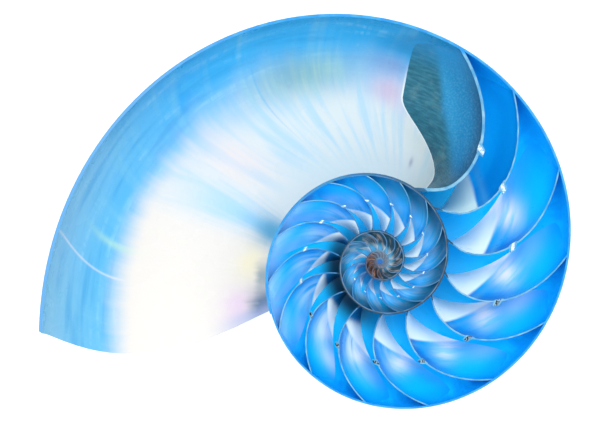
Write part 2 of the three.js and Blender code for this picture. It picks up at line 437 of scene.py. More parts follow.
def stir(noise, reach):
    return (noise - 0.5) * reach


def fade(value, low, high):
    return 1 - ease(value, low, high)


def stretch(value, start, end):
    return ease(value, *start) * fade(value, *end)


def hump(value, centre, width):
    off = (value - centre) / width
    return exp(off * off * -1)


def finish(name, relief_depth):
    """Makes a finish of the rule that gives its colour, roughness and relief."""
    def draw(paint):
        material = bpy.data.materials.new(name)
        material.use_nodes = True
        trees.append(material.node_tree)
        tint, roughness, relief = paint()
        shader = material.node_tree.nodes["Principled BSDF"]
        feed(shader.inputs["Base Color"], tint)
        feed(shader.inputs["Roughness"], roughness)
        shader.inputs["Specular IOR Level"].default_value = SPECULAR
        bump = add_node("ShaderNodeBump")
        bump.inputs["Strength"].default_value = RELIEF_STRENGTH
        bump.inputs["Distance"].default_value = relief_depth * MILLIMETRE
        feed(bump.inputs["Height"], relief)
        feed(shader.inputs["Normal"], bump.outputs["Normal"])
        trees.pop()
        finishes[name] = material
        return paint
    return draw


# The colours of older pearl. Each has its stretch of the coil, in degrees inward along it, and its
# share of the way from the dorsum to the venter. A pair is where the colour starts and is full.
DULL_BLUE = colour("3f7fae")
DULLED = (170, 300)
SILVER = colour("a9c4d6")
SILVERED = (250, 420)
SILVER_SHARE = (0.1, 0.4)
SILVER_SILK = (0.42, 0.68)
NAVY = colour("1c3a50")
NAVY_STRETCH = ((230, 310), (520, 620))
NAVY_SHARE = (0.55, 0.9)
ROOT_BLUE = colour("1272b4")
ROOT_STRETCH = ((420, 490), (525, 560))
ROOT_SHARE = (0.25, 0.5)
PALE_ROOT = colour("8cc0dc")
GREY_ROOT = colour("d4d0ce")
PALE_ROOT_STRETCH = ((540, 590), (760, 810))
PALE_ROOT_SHARE = (0.2, 0.5)
ROOT_GREYED = (640, 760)
SLATE = colour("24343d")
SLATE_SHINE = colour("b8a8a0")
SLATE_SILK = (0.48, 0.72)
SLATED = (520, 620)
SLATE_SPREAD = (740, 800)
SLATE_STARTS = (0.1, -0.3)
SLATE_FULL = 0.5
BROWN = colour("382720")
BROWN_SHINE = colour("a87f6c")
BROWN_SILK = (0.46, 0.68)
BROWN_STRETCH = ((785, 830), (920, 990))
BROWN_SHARE = (-0.2, 0.3)
FIRST_BLUE = colour("2a6a9c")
FIRST_SHINE = colour("a79b98")
FIRST_ROOMS = (930, 990)


def aged(tint, angle, share, silk):
    """Dulls the pearl toward the first rooms, to slate on the third whorl and brown in the fourth."""
    inward = angle * -1
    tint = blend(tint, DULL_BLUE, ease(inward, *DULLED) * 0.12)
    silver = ease(inward, *SILVERED) * ease(share, *SILVER_SHARE) * ease(silk, *SILVER_SILK)
    tint = blend(tint, SILVER, silver * 0.5)
    navy = stretch(inward, *NAVY_STRETCH) * ease(share, *NAVY_SHARE)
    tint = blend(tint, NAVY, navy * 0.75)
    root = stretch(inward, *ROOT_STRETCH) * fade(share, *ROOT_SHARE)
    tint = blend(tint, ROOT_BLUE, root * 0.85)
    pale_root = stretch(inward, *PALE_ROOT_STRETCH) * fade(share, *PALE_ROOT_SHARE)
    root_tint = blend(PALE_ROOT, GREY_ROOT, ease(inward, *ROOT_GREYED))
    tint = blend(tint, root_tint, pale_root * mix(0.1, 0.6, silk))
    slate = blend(SLATE, SLATE_SHINE, ease(silk, *SLATE_SILK) * 0.8)
    slate_from = mix(*SLATE_STARTS, ease(inward, *SLATE_SPREAD))
    tint = blend(tint, slate, ease(inward, *SLATED) * ease(share, slate_from, SLATE_FULL) * 0.92)
    brown = blend(BROWN, BROWN_SHINE, ease(silk, *BROWN_SILK))
    tint = blend(tint, brown, stretch(inward, *BROWN_STRETCH) * ease(share, *BROWN_SHARE) * 0.9)
    return blend(tint, blend(FIRST_BLUE, FIRST_SHINE, silk), ease(inward, *FIRST_ROOMS) * 0.8)


RECESS_STRETCH = ((70, 125), (175, 250))
RECESS_SHARE = (0.06, 0.3)
RECESS_EDGE = (0.12, 0.6)
# Painted shade of the deep corner behind the inner whorl, blue and then dark
RECESS_BLUE = colour("0a74b8")
RECESS_DARK = colour("062c46")
PALE_RIM_STRETCH = ((130, 155), (205, 230))
PALE_RIM_SHARE = (0.7, 0.95)
PALE_RIM = colour("a8d8f4")


def recess(angle, share):
    """The dark of the deep corner behind the inner whorl, on the side away from the lamp."""
    return stretch(angle * -1, *RECESS_STRETCH) * fade(share, *RECESS_SHARE)


def pale_rim(tint, angle, share, streak):
    """The rooms on the left are paler toward the venter."""
    rim = stretch(angle * -1, *PALE_RIM_STRETCH) * ease(share, *PALE_RIM_SHARE)
    return blend(tint, PALE_RIM, rim * mix(0.3, 0.8, streak))


# The blues of a septum, by how far its dish has turned from the sawn edge, in degrees. Where a place
# is a pair in a hump, it is the middle and the width.
SEPTUM_BLUES = (
    (-1, colour("0068c0")),
    (6, colour("029ee8")),
    (12, colour("0ab6f6")),
    (24, colour("56c8f9")),
)
SILK_STIR = 3
LINE_STIR = 5
MIDDLE_BLUE = colour("08aef2")
MIDDLE_SHARE = (0.5, 0.8)
VENTER_BLUE = colour("007cd2")
VENTER_SHARE = (0.79, 1)
FRONT_ROOM = (38, 50)
FRONT_ROOM_BLUE = colour("007cc6")
FRONT_ROOM_RISE = (4, 14)
WEDGE_LEAD = 22
WEDGE_SHARE = 0.29
WEDGE_SLOPE = 0.0105
FRONT_WEDGE_SLOPE = 0.0061
WEDGE_SWELLS = ((195, 55, 0.06), (345, 30, -0.04), (-15, 20, -0.03))
# Painted highlight: the white wedge beside the suture, with a painted shade beside its crease
WEDGE_MINT = colour("f2fff4")
WEDGE_WHITE = colour("fffffa")
FRONT_WEDGE = colour("dcf2e6")
WEDGE_STIR = 0.02
WEDGE_EDGE = (-0.015, 0.02)
WEDGE_SHADE = colour("4fa6d4")
WEDGE_SHADE_AT = (0.07, 0.03)
# Painted highlight: the rosy sheen in the middle of the dish
SHEEN_LEAD = (-8, 6)
SHEEN_SHARE = (0.525, 0.1)
SHEEN_STRONG = (-40, 0)
SHEEN_WEAK = (110, 150)
SHEEN_SILK = (0.32, 0.56)
SHEEN_BLUE = colour("b0e2f4")
SHEEN_CREAM = colour("fff4ea")
SHEEN_INWARD = colour("bce4f6")
SHEEN_TURN = (100, 200)
LEFT_SIDE = (115, 150)
# Painted highlights: a pale patch high on the dish and a white glow down its middle
PALE_PATCH = colour("d2ebfa")
PATCH_RIGHT = (20, 25)
PATCH_BELOW = (85, 110)
PATCH_SHARE = (0.72, 0.1)
PATCH_RISE = (18, 6)
GLOW = colour("f2f8fc")
GLOW_STRETCH = ((70, 120), (230, 270))
GLOW_RISE = (10, 5)
GLOW_SHARE = (0.42, 0.2)
GLOW_LINES = (0.3, 0.55)
SEPTUM_SEED = 0.37
SILK_ACROSS = 18
SILK_ALONG = 0.08
LINES_ALONG = 0.35
LINES_ACROSS = 1.6


@finish("septum", ROOM_RELIEF)
def septum_pearl():
    angle, share, _ = painted("growth")
    lead, septum_angle, rise = painted("septum")
    spot = painted("spot")
    inward = angle * -1
    front = ease(septum_angle, *FRONT_ROOM)
    crease = share - (lead + WEDGE_LEAD) * mix(WEDGE_SLOPE, FRONT_WEDGE_SLOPE, front) - WEDGE_SHARE
    for centre, width, swell in WEDGE_SWELLS:
        crease = crease + hump(inward, centre, width) * swell
    silk = cloud(crease * SILK_ACROSS, lead * SILK_ALONG, septum_angle * SEPTUM_SEED)
    grown_line = cloud(rise * LINES_ALONG, share * LINES_ACROSS, septum_angle * SEPTUM_SEED)
    mottle = clouded(spot, ROOM_MOTTLE)
    grain = clouded(spot, ROOM_GRAIN)
    tint = ramp(rise + stir(silk, SILK_STIR) + stir(grown_line, LINE_STIR), *SEPTUM_BLUES)
    tint = blend(tint, MIDDLE_BLUE, ease(share, *MIDDLE_SHARE) * 0.85)
    tint = blend(tint, VENTER_BLUE, ease(share, *VENTER_SHARE) * 0.85)
    tint = blend(tint, FRONT_ROOM_BLUE, front * fade(rise, *FRONT_ROOM_RISE) * 0.8)
    crease = crease + stir(silk, WEDGE_STIR)
    # Painted highlight: the white wedge beside the suture, then a painted shade along its crease
    wedge = blend(blend(WEDGE_MINT, WEDGE_WHITE, silk), FRONT_WEDGE, front)
    tint = blend(tint, wedge, fade(crease, *WEDGE_EDGE) * 0.97)
    tint = blend(tint, WEDGE_SHADE, hump(crease, *WEDGE_SHADE_AT) * 0.5)
    # Painted highlight: a rosy sheen in the middle of the dish, weaker on the left
    sheen = hump(lead, *SHEEN_LEAD) * hump(share, *SHEEN_SHARE) * (1 - front)
    sheen = sheen * (mix(0.75, 0.95, ease(angle, *SHEEN_STRONG)) - ease(inward, *SHEEN_WEAK) * 0.5)
    rosy = blend(SHEEN_BLUE, SHEEN_CREAM, ease(silk, *SHEEN_SILK))
    tint = blend(tint, blend(rosy, SHEEN_INWARD, ease(inward, *SHEEN_TURN)), sheen)
    # Painted highlights: a pale patch high on the dish and a white glow along the lines of growth
    left_side = ease(inward, *LEFT_SIDE)
    pale = hump(inward, *PATCH_RIGHT) * 0.5 + ease(inward, *PATCH_BELOW) * mix(0.85, 0.25, left_side)
    tint = blend(tint, PALE_PATCH, hump(share, *PATCH_SHARE) * hump(rise, *PATCH_RISE) * pale)
    glow = hump(rise, *GLOW_RISE) * hump(share, *GLOW_SHARE) * stretch(inward, *GLOW_STRETCH)
    tint = blend(tint, GLOW, glow * ease(grown_line, *GLOW_LINES) * mix(0.9, 0.35, left_side))
    tint = pale_rim(tint, angle, share, grown_line)
    # Painted shade: blue, then dark, in the deep corner behind the inner whorl
    shade = recess(angle, share)
    tint = blend(tint, RECESS_BLUE, ease(shade, *RECESS_EDGE))
    tint = blend(tint, RECESS_DARK, shade * 0.85)
    return aged(tint, angle, share, grown_line), mix(*ROOM_POLISH, mottle), grain


# The blues of a room's wall, by the share from the dorsum to the venter
WALL_BLUES = (
    (0, colour("06b4f0")),
    (0.3, colour("10c4fc")),
    (0.82, colour("10c0fa")),
    (0.97, colour("0898e4")),
)
WALL_LINES = (0.4, 5, 0)
WALL_STIR = 0.2


@finish("chamber wall", ROOM_RELIEF)
def chamber_pearl():
    angle, share, _ = painted("growth")
    spot = painted("spot")
    mottle = clouded(spot, ROOM_MOTTLE)
    streak = lined(angle, share, *WALL_LINES)
    grain = clouded(spot, ROOM_GRAIN)
    tint = ramp(share + stir(streak, WALL_STIR), *WALL_BLUES)
    tint = pale_rim(tint, angle, share, streak)
    # Painted shade in the deep corner behind the inner whorl
    tint = blend(tint, RECESS_DARK, recess(angle, share) * 0.92)
    return aged(tint, angle, share, mottle), mix(*ROOM_POLISH, mottle), grain


# A room starts as a block of cells: across from the middle of the whorl to the wall, around from
# the venter to the umbilicus, and along the growth. The rule then bends it into its place. The
# blocks pass the saw cut by the overshoot, in degrees around the section, and are sawn flat later.
OVERSHOOT = -3
DORSAL_OVERSHOOT = OVERSHOOT * math.exp(FULL_TURN * SIZES["Growth per radian"])
DORSAL_END = 99
WALL_SWEEP = 125
WALL_SWEEP_GAIN = 26
WELD = 0.001
FINE_RADIUS = 15
FINE_ROOM_CELLS = (20, 32, 8)
SMALL_ROOM_CELLS = (10, 14, 4)


def overshoot_y():
    return size("Half breadth") * math.sin(OVERSHOOT * DEGREE)


def wall_turn(around):
    return OVERSHOOT + around * WALL_SWEEP + around * around * WALL_SWEEP_GAIN


@rule
def rung_point(across, around, angle, extra):
    reach = venter_radius(angle)
    inner_reach = breadth_radius(angle) * dorsum()
    inset = least((size("Wall") + size("Wall share") * reach + extra) / reach, THICKEST)
    outer_x, outer_y = section(wall_turn(around), inset)
    layer = least((size("Dorsal layer") + extra) / inner_reach, THICKEST) * -1
    dorsal_turn = mix(DORSAL_OVERSHOOT, DORSAL_END, most(around - 0.5, 0) * 2)
    dorsal_x, dorsal_y = section(dorsal_turn, layer)
    dorsal_x = dorsal_x * inner_reach / reach
    venter_x, _ = section(OVERSHOOT, inset)
    sawn_x = mix(venter_x, dorsal_x, least(around * 2, 1))
    on_dorsum = above(around, 0.5)
    inner_x = mix(sawn_x, dorsal_x, on_dorsum)
    inner_y = mix(overshoot_y(), dorsal_y * dorsum(), on_dorsum)
    return mix(inner_x, outer_x, across), mix(inner_y, outer_y, across)


def attribute(name, kind="FLOAT"):
    return add_node("GeometryNodeInputNamedAttribute", name, data_type=kind).outputs["Attribute"]


def store(geometry, name, value, domain, kind, selection=None):
    settings = {"domain": domain, "data_type": kind}
    node = add_node("GeometryNodeStoreNamedAttribute", geometry, selection, name, **settings)
    feed(node.inputs["Value"], value)
    return node.outputs[0]


def finished(geometry, name, selection=None):
    return store(geometry, "finish", list(finishes).index(name), "FACE", "FLOAT", selection)


def block(across, around, along, finish_name, back_finish=None):
    cube = add_node("GeometryNodeMeshCube", (1, 1, 1), across + 1, around + 1, along + 1)
    position = parted(add_node("GeometryNodeInputPosition").outputs[0])
    cells = joined(*[share + 0.5 for share in position])
    geometry = store(cube.outputs["Mesh"], "cell", cells, "POINT", "FLOAT_VECTOR")
    geometry = finished(geometry, finish_name)
    if back_finish:
        at_back = above(parted(add_node("GeometryNodeInputNormal").outputs[0])[2] * -1, 0.5)
        geometry = finished(geometry, back_finish, at_back)
    return geometry


def bent(geometry, angle, x, y, *facts):
    moved = add_node("GeometryNodeSetPosition", geometry, None, joined(*place(angle, x, y))).outputs[0]
    welded = add_node("GeometryNodeMergeByDistance", moved)
    welded.inputs["Distance"].default_value = WELD
    share = (x - dorsum()) / (1 - dorsum())
    solid = store(welded.outputs[0], "growth", joined(angle, share, y), "CORNER", "FLOAT_VECTOR")
    return store(solid, "septum", joined(*facts), "CORNER", "FLOAT_VECTOR")


own_septum = [Number(attribute(name)) for name in SEPTUM_FACTS]
own_angle, *own_bend, _, own_radius = own_septum
septum_ahead = [Number(attribute("ahead " + name)) for name in SEPTUM_FACTS]
across, around, along = parted(attribute("cell", "FLOAT_VECTOR"))
order = Number(add_node("GeometryNodeInputIndex").outputs[0])
is_fine = above(own_radius, FINE_RADIUS)


def seeded(selection, cells):
    copies = add_node("GeometryNodeInstanceOnPoints", given.outputs["Septa"], selection, cells)
    return add_node("GeometryNodeRealizeInstances", copies.outputs[0]).outputs[0]


def rise_over_edge(angle, x):
    return angle - own_angle - septum_lead(x, 0, *own_bend)


rooms = add_node("GeometryNodeJoinGeometry")
fine_room = block(*FINE_ROOM_CELLS, "chamber wall", "septum")
feed(rooms.inputs[0], seeded(above(order, 0) * is_fine, fine_room))
small_room = block(*SMALL_ROOM_CELLS, "chamber wall", "septum")
feed(rooms.inputs[0], seeded(1 - is_fine, small_room))
room_angle = mix(own_angle, septum_ahead[0], along) - size("Dish depth")
room_x, room_y = rung_point(across, around, room_angle, 0)
room_back = septum_face(*own_septum, room_x, room_y, 1)
room_front = septum_face(*septum_ahead, room_x, room_y, -1)
room_angle = mix(room_back, room_front, along)
room_facts = (room_angle - own_angle, own_angle, rise_over_edge(room_angle, room_x))
chambers = bent(rooms.outputs[0], room_angle, room_x, room_y, *room_facts)


# The living chamber: the open room in front of the last septum, where the animal's body was. Its
# pearl is blue along the venter and white on the flank, partly pearl and partly painted highlight,
# with the bowed lines of growth. It runs out past the lip, so that the lip is left as a thin edge.
SIZES["Living chamber layer"] = 0.15
PAST_LIP = 14
LIVING_CELLS = (24, 72, 44)
LIVING_POLISH = (0.2, 0.36)
LIVING_MOTTLE = 0.12
LIVING_GRAIN = 2
LINE_CREST = 0.57
LINE_BOW = 0.093
LINE_BOW_LOSS = 2.2
LINE_SWEEP = -0.3
LINE_SWEPT = (125, 155)
FAR_PART = (130, 172)
BROAD_LINES = (0.11, 2, 7)
STREAK_LINES = (0.3, 1.6, 0, 2)
FINE_LINES = (0.8, 2, 4, 2)
GREY_WHITE = colour("b4bfc3")
WARM_WHITE = colour("c6c3bf")
WHITE_CHANGE = (126, 146)
VEIN_BLUE = colour("86b2cc")
VEIN_STREAKS = (0.42, 0.66)
VEIN_SHARE = (0.02, 0.3)
VEINS_END = (150, 172)
ROSE = colour("c8babc")
ROSY_LINE = (133, 6)
ROSE_SHARE = (0.4, 0.2)
CROSS_BLUE = colour("4090b8")
CROSS_PALE = colour("80b4d4")
CROSS_LINE = (146, 6)
CROSS_FRAY = 5
CROSS_SWAY = 6
CROSS_SHARE = (0.15, 0.8)
CROSS_PALE_SHARE = (0, 0.25)
BAND_SWAY = (0.2, 0.05)
BAND_FRAY = 0.04
NEAR_BAND = (0.42, 0.9)
FAR_BAND = (0.6, 0.76)
BAND_STIR = 50
BAND_BLUES = (
    (75, colour("188cc4")),
    (125, colour("2c98d2")),
    (190, colour("58a2ca")),
)
BRIGHT_BLUE = colour("128ad0")
BRIGHT_MOTTLE = (0.4, 0.6)
LIP_BLUE = colour("7daecc")
LIP_BLUE_SHARE = (0.76, 1)
STREAK_BLUE = colour("66a9c8")
BLUE_STREAKS = (0.5, 0.75)
SPIRAL_LINES = (26, 0.05, 2)
SPIRAL_DARK = colour("1480bc")
SPIRAL_DARKS = (0.48, 0.68)
SPIRAL_SHARE = (0.6, 0.8)
SPIRAL_PALE = colour("8cc0d8")
SPIRAL_PALES = (0.3, 0.46)
SPIRAL_BREAKS = (0.35, 0.6)
OLIVE_DARK = colour("4f8898")
OLIVE = colour("88a690")
OLIVE_STREAKS = (0.4, 0.64)
OLIVE_LINE = (104, 14)
OLIVE_SHARE = (0.67, 0.13)
NEAR_SUTURE = (5, 6)
SUTURE_VIOLET = colour("6680ac")
VIOLET_SHARE = (0.74, 0.08)
SUTURE_LILAC = colour("aa98b2")
LILAC_SHARE = (0.57, 0.1)
SUTURE_BLUE = colour("2076a8")
SUTURE_BLUE_AHEAD = (2, 13)
SUTURE_BLUE_SHARE = (0.77, 0.87)
SUTURE_GREY = colour("94a6a2")
SUTURE_GREY_AHEAD = (3, 10)
SUTURE_GREY_SHARE = (0.3, 0.5)
STAIN = colour("7f88a0")
STAIN_AT = (71.3, 1.1)
STAIN_SHARE = (0.165, 0.035)
SILL = colour("c3cfd3")
SILL_AHEAD = (0.25, 0.8)
SILL_SHARE = (0.55, 0.8)
BLUE_LINE = colour("3a94c8")
BLUE_LINE_AT = (116, 0.3)
BLUE_LINE_SHARE = (0.62, 0.3)
PALE_LINE = colour("d8d0d4")
PALE_LINE_AT = (170, 0.22)
PALE_LINE_SHARE = (0.62, 0.7)
GREEN_LINE = colour("a8cfae")
GREEN_LINE_AT = (163.9, 0.7)
GREEN_LINE_SHARE = (0.74, 0.1)
DORSAL_WHITE = colour("cfe2ec")
DORSAL_SHARE = (-0.1, -0.02)


def growth_line(angle, share):
    """The angle that a line of growth starts from: bowed forward, and toward the lip swept on."""
    ventral = most(share - LINE_CREST, 0) * 2
    dorsal = most(LINE_CREST - share, 0) * 2
    sweep = mix(1, LINE_SWEEP, ease(angle, *LINE_SWEPT))
    bow = angle * LINE_BOW - LINE_BOW_LOSS
    return angle - bow * (1 - ventral * ventral - dorsal * dorsal * sweep)


# The white of the flank is partly the pearl's own and partly a painted highlight
def flank_white(angle, share, line, broad, streak, fine):
    white = blend(GREY_WHITE, WARM_WHITE, ease(line, *WHITE_CHANGE))
    veined = mix(0.35, ease(streak, *VEIN_STREAKS), ease(share, *VEIN_SHARE))
    white = blend(white, VEIN_BLUE, veined * fade(angle, *VEINS_END) * 0.6)
    white = blend(white, ROSE, hump(line, *ROSY_LINE) * hump(share, *ROSE_SHARE) * 0.5)
    swayed = line + stir(fine, CROSS_FRAY) + stir(broad, CROSS_SWAY)
    cross = blend(CROSS_BLUE, CROSS_PALE, ease(share, *CROSS_PALE_SHARE))
    return blend(white, cross, hump(swayed, *CROSS_LINE) * fade(share, *CROSS_SHARE) * 0.85)


def venter_band(angle, share, line, broad, streak, fine, mottle, far):
    blue = ramp(angle + stir(broad, BAND_STIR), *BAND_BLUES)
    blue = blend(blue, BRIGHT_BLUE, hump(line, *ROSY_LINE) * ease(mottle, *BRIGHT_MOTTLE) * 0.6)
    blue = blend(blue, LIP_BLUE, ease(share, *LIP_BLUE_SHARE) * far * 0.6)
    blue = blend(blue, STREAK_BLUE, ease(streak, *BLUE_STREAKS) * 0.45)
    spiral = lined(share, angle, *SPIRAL_LINES)
    blue = blend(blue, SPIRAL_DARK, ease(spiral, *SPIRAL_DARKS) * ease(share, *SPIRAL_SHARE) * 0.4)
    return blend(blue, SPIRAL_PALE, fade(spiral, *SPIRAL_PALES) * ease(fine, *SPIRAL_BREAKS) * 0.3)


def beside_suture(tint, angle, share, ahead, fine, mottle):
    """The violet and lilac where the pearl meets the last septum, and the stain on the flank."""
    near = hump(ahead, *NEAR_SUTURE) * mix(0.5, 1, fine)
    tint = blend(tint, SUTURE_VIOLET, near * hump(share, *VIOLET_SHARE) * 0.9)
    tint = blend(tint, SUTURE_LILAC, near * hump(share, *LILAC_SHARE))
    deep = fade(ahead, *SUTURE_BLUE_AHEAD) * ease(share, *SUTURE_BLUE_SHARE)
    tint = blend(tint, SUTURE_BLUE, deep * mix(0.6, 1, fine))
    stain = hump(angle, *STAIN_AT) * hump(share, *STAIN_SHARE)
    tint = blend(tint, STAIN, stain * mix(0.5, 1, mottle))
    grey = hump(ahead, *SUTURE_GREY_AHEAD) * fade(share, *SUTURE_GREY_SHARE)
    return blend(tint, SUTURE_GREY, grey * 0.3)


# The colours where the flank meets the inner whorl, by their place along it and their reach off it:
# painted shade of blue against it, cream and lilac smudges off it, darker slate and navy against it
# toward the lip, and violet by the lip
BLUE_SMUDGE = colour("3f86ac")
BLUE_SMUDGE_AT = (166, 7)
BLUE_SMUDGE_REACH = (0, 0.14)
CREAM_SMUDGE = colour("d3cba6")
CREAM_SMUDGE_AT = (181, 8)
CREAM_SMUDGE_OFF = (0.06, 0.06)
SLATE_SMUDGE = colour("5b7888")
SLATE_SMUDGE_AT = (188, 6)
SLATE_SMUDGE_REACH = (0, 0.05)
LILAC_SMUDGE = colour("c3abc6")
LILAC_SMUDGE_AT = (198, 6)
LILAC_SMUDGE_OFF = (0.11, 0.07)
NAVY_SMUDGE = colour("24567c")
NAVY_SMUDGE_AT = (201, 7)
NAVY_SMUDGE_REACH = (0, 0.1)
LIP_VIOLET = colour("8a98c4")
LIP_VIOLET_FROM = (199, 205)
LIP_VIOLET_REACH = (0.05, 0.3)
SMUDGE_STIR = 0.06
SMUDGE_FRAY = 0.02
LIP_STIR = 6


def smudged(tint, angle, share, streak, fine, mottle):
    off = share + stir(streak, SMUDGE_STIR) + stir(mottle, SMUDGE_STIR)
    # Painted shade: blue where the flank meets the inner whorl
    blue = hump(angle, *BLUE_SMUDGE_AT) * fade(off, *BLUE_SMUDGE_REACH)
    tint = blend(tint, BLUE_SMUDGE, blue * 0.85)
    cream = hump(angle, *CREAM_SMUDGE_AT) * hump(off, *CREAM_SMUDGE_OFF)
    tint = blend(tint, CREAM_SMUDGE, cream * 0.6)
    # Darker slate and navy against the whorl toward the lip
    slate = hump(angle, *SLATE_SMUDGE_AT) * fade(off, *SLATE_SMUDGE_REACH)
    tint = blend(tint, SLATE_SMUDGE, slate * 0.7)
    lilac = hump(angle, *LILAC_SMUDGE_AT) * hump(off, *LILAC_SMUDGE_OFF)
    tint = blend(tint, LILAC_SMUDGE, lilac * 0.7)
    navy = hump(angle, *NAVY_SMUDGE_AT) * fade(off + stir(fine, SMUDGE_FRAY), *NAVY_SMUDGE_REACH)
    tint = blend(tint, NAVY_SMUDGE, navy * 0.9)
    violet = ease(angle + stir(mottle, LIP_STIR), *LIP_VIOLET_FROM) * fade(off, *LIP_VIOLET_REACH)
    return blend(tint, LIP_VIOLET, violet * 0.6)


@finish("living chamber", ROOM_RELIEF)
def living_pearl():
    angle, share, _ = painted("growth")
    _, ahead, _ = painted("septum")
    spot = painted("spot")
    line = growth_line(angle, share)
    broad = lined(line, share, *BROAD_LINES)
    streak = lined(line, share, *STREAK_LINES)
    fine = lined(line, share, *FINE_LINES)
    mottle = clouded(spot, LIVING_MOTTLE)
    grain = clouded(spot, LIVING_GRAIN)
    far = ease(angle, *FAR_PART)
    edge = share + stir(broad, mix(*BAND_SWAY, far)) + stir(fine, BAND_FRAY)
    band = mix(ease(edge, *NEAR_BAND), ease(edge, *FAR_BAND), far)
    white = flank_white(angle, share, line, broad, streak, fine)
    tint = blend(white, venter_band(angle, share, line, broad, streak, fine, mottle, far), band)
    olive = blend(OLIVE_DARK, OLIVE, ease(streak * 0.7 + fine * 0.3, *OLIVE_STREAKS))
    tint = blend(tint, olive, hump(line, *OLIVE_LINE) * hump(share, *OLIVE_SHARE) * 0.7)
    tint = beside_suture(tint, angle, share, ahead, fine, mottle)
    tint = blend(tint, BLUE_LINE, hump(line, *BLUE_LINE_AT) * hump(share, *BLUE_LINE_SHARE) * 0.4)
    tint = blend(tint, PALE_LINE, hump(line, *PALE_LINE_AT) * ease(share, *PALE_LINE_SHARE) * 0.4)
    tint = blend(tint, GREEN_LINE, hump(line, *GREEN_LINE_AT) * hump(share, *GREEN_LINE_SHARE) * 0.45)
    tint = smudged(tint, angle, share, streak, fine, mottle)
    tint = blend(DORSAL_WHITE, tint, ease(share, *DORSAL_SHARE))
    tint = blend(tint, SILL, fade(ahead, *SILL_AHEAD) * fade(share, *SILL_SHARE))
    return tint, mix(*LIVING_POLISH, mottle), streak + fine * 0.4 + grain * 0.3


# The last septum is rougher than the older ones, with a striped fold toward the umbilicus that is
# darkened by painted shade
LAST_RELIEF = 0.4
LAST_POLISH = (0.25, 0.45)
LAST_GRAIN = (1.6, 1.6, 0.8)
LAST_MOTTLE = 0.2
STRIPE_LINES = (70, 0.25, 3)
FOLD_SHARE = 0.25
FOLD_LEAD = 22
FOLD_SLOPE = 0.0184
FOLD_TURN_LEAD = 3
FOLD_TURN_SLOPE = 0.026
DISH_BLUES = (
    (0, colour("0b4c74")),
    (7, colour("176c9a")),
    (13, colour("2078a4")),
    (22, colour("1a5f86")),
)
# Painted glints: pale sparkles in the grain of the open dish
DISH_SPECKLE = colour("6fb2cc")
SPECKLE_GRAIN = (0.4, 0.75)
FOLD_DARK = colour("1c5468")
FOLD_STRIPE = colour("2f6a7c")
FOLD_STRIPES = (0.35, 0.7)
FOLD_GREY = colour("6a8a86")
FOLD_MOTTLE = (0.5, 0.75)
FOLD_STIR = 0.05
FOLD_EDGE = (-0.1, 0.04)
LAST_VENTER = (0.74, 0.98)


@finish("last septum", LAST_RELIEF)
def last_septum_pearl():
    _, share, _ = painted("growth")
    lead, _, rise = painted("septum")
    spot = painted("spot")
    stripe = lined(share, lead, *STRIPE_LINES)
    grain = cloud(*[side * scale for side, scale in zip(spot, LAST_GRAIN)])
    mottle = clouded(spot, LAST_MOTTLE)
    fold = FOLD_SHARE + (lead + FOLD_LEAD) * FOLD_SLOPE
    fold = fold + most(lead + FOLD_TURN_LEAD, 0) * FOLD_TURN_SLOPE
    open_dish = ramp(rise, *DISH_BLUES)
    # Painted glints: pale sparkles over the open dish
    open_dish = blend(open_dish, DISH_SPECKLE, ease(grain, *SPECKLE_GRAIN) * 0.16)
    # Painted shade over the fold, with the pearl's own stripes and grey mottle
    dark = blend(FOLD_DARK, FOLD_STRIPE, ease(stripe, *FOLD_STRIPES))
    dark = blend(dark, FOLD_GREY, ease(mottle, *FOLD_MOTTLE) * 0.35)
    tint = blend(open_dish, dark, fade(share - fold + stir(mottle, FOLD_STIR), *FOLD_EDGE))
    tint = blend(tint, SUTURE_BLUE, ease(share, *LAST_VENTER) * 0.85)
    return tint, mix(*LAST_POLISH, grain), grain + stripe * 0.4


living_cells = seeded(1 - above(order, 0), block(*LIVING_CELLS, "living chamber", "last septum"))
living_end = size("Lip") + PAST_LIP


def living_angle(x, y):
    return mix(septum_face(*own_septum, x, y, 1), bowed_angle(living_end, wall_turn(around)), along)


layer = size("Living chamber layer")
near_angle = living_angle(*rung_point(across, around, mix(own_angle, living_end, along), layer))
living_x, living_y = rung_point(across, around, near_angle, layer)
whole_angle = living_angle(living_x, living_y)
ahead_of_septum = whole_angle - septum_face(*own_septum, living_x, living_y, 1)
living_facts = (whole_angle - own_angle, ahead_of_septum, rise_over_edge(whole_angle, living_x))
living = bent(living_cells, whole_angle, living_x, living_y, *living_facts)


# The outside of the coil: the shell's outer layer polished away, down to the pearl. It is filled up
# to the saw cut here, in two stretches that are each under a turn, and the rooms are cut out of it.
COIL_FROM = -240
COIL_JOIN = 12
COIL_CELLS = (2, 40)
INNER_STEPS = 100
OUTER_STEPS = 80
UMBILICUS_TURN = 180
OUTSIDE_RELIEF = 0.12
OUTSIDE_POLISH = (0.2, 0.38)
OUTSIDE_MOTTLE = 0.06
OUTSIDE_GRAIN = 2
OUTSIDE_LINES = (0.5, 1.4, 11, 5)
OUTSIDE_BANDS = (0.07, 1.2, 3)
OUTSIDE_BLUE = colour("6fb4e0")
OUTSIDE_PALE = colour("9acbea")
PALE_BANDS = (0.3, 0.7)
FLANK_WHITE = colour("dbe9f0")
FLANK_SHARE = (0, 0.7)
ROSE_CLOUD = colour("e2d6de")
ROSE_MOTTLE = (0.45, 0.7)
GREEN_CLOUD = colour("cfe6dc")
GREEN_MOTTLE = ((0.35, 0.5), (0.5, 0.62))
DARK_STREAK = colour("4fa2d8")
DARK_STREAKS = (0.5, 0.75)
LIGHT_STREAK = colour("eef5f8")
LIGHT_STREAKS = ((0.22, 0.4), (0.4, 0.48))


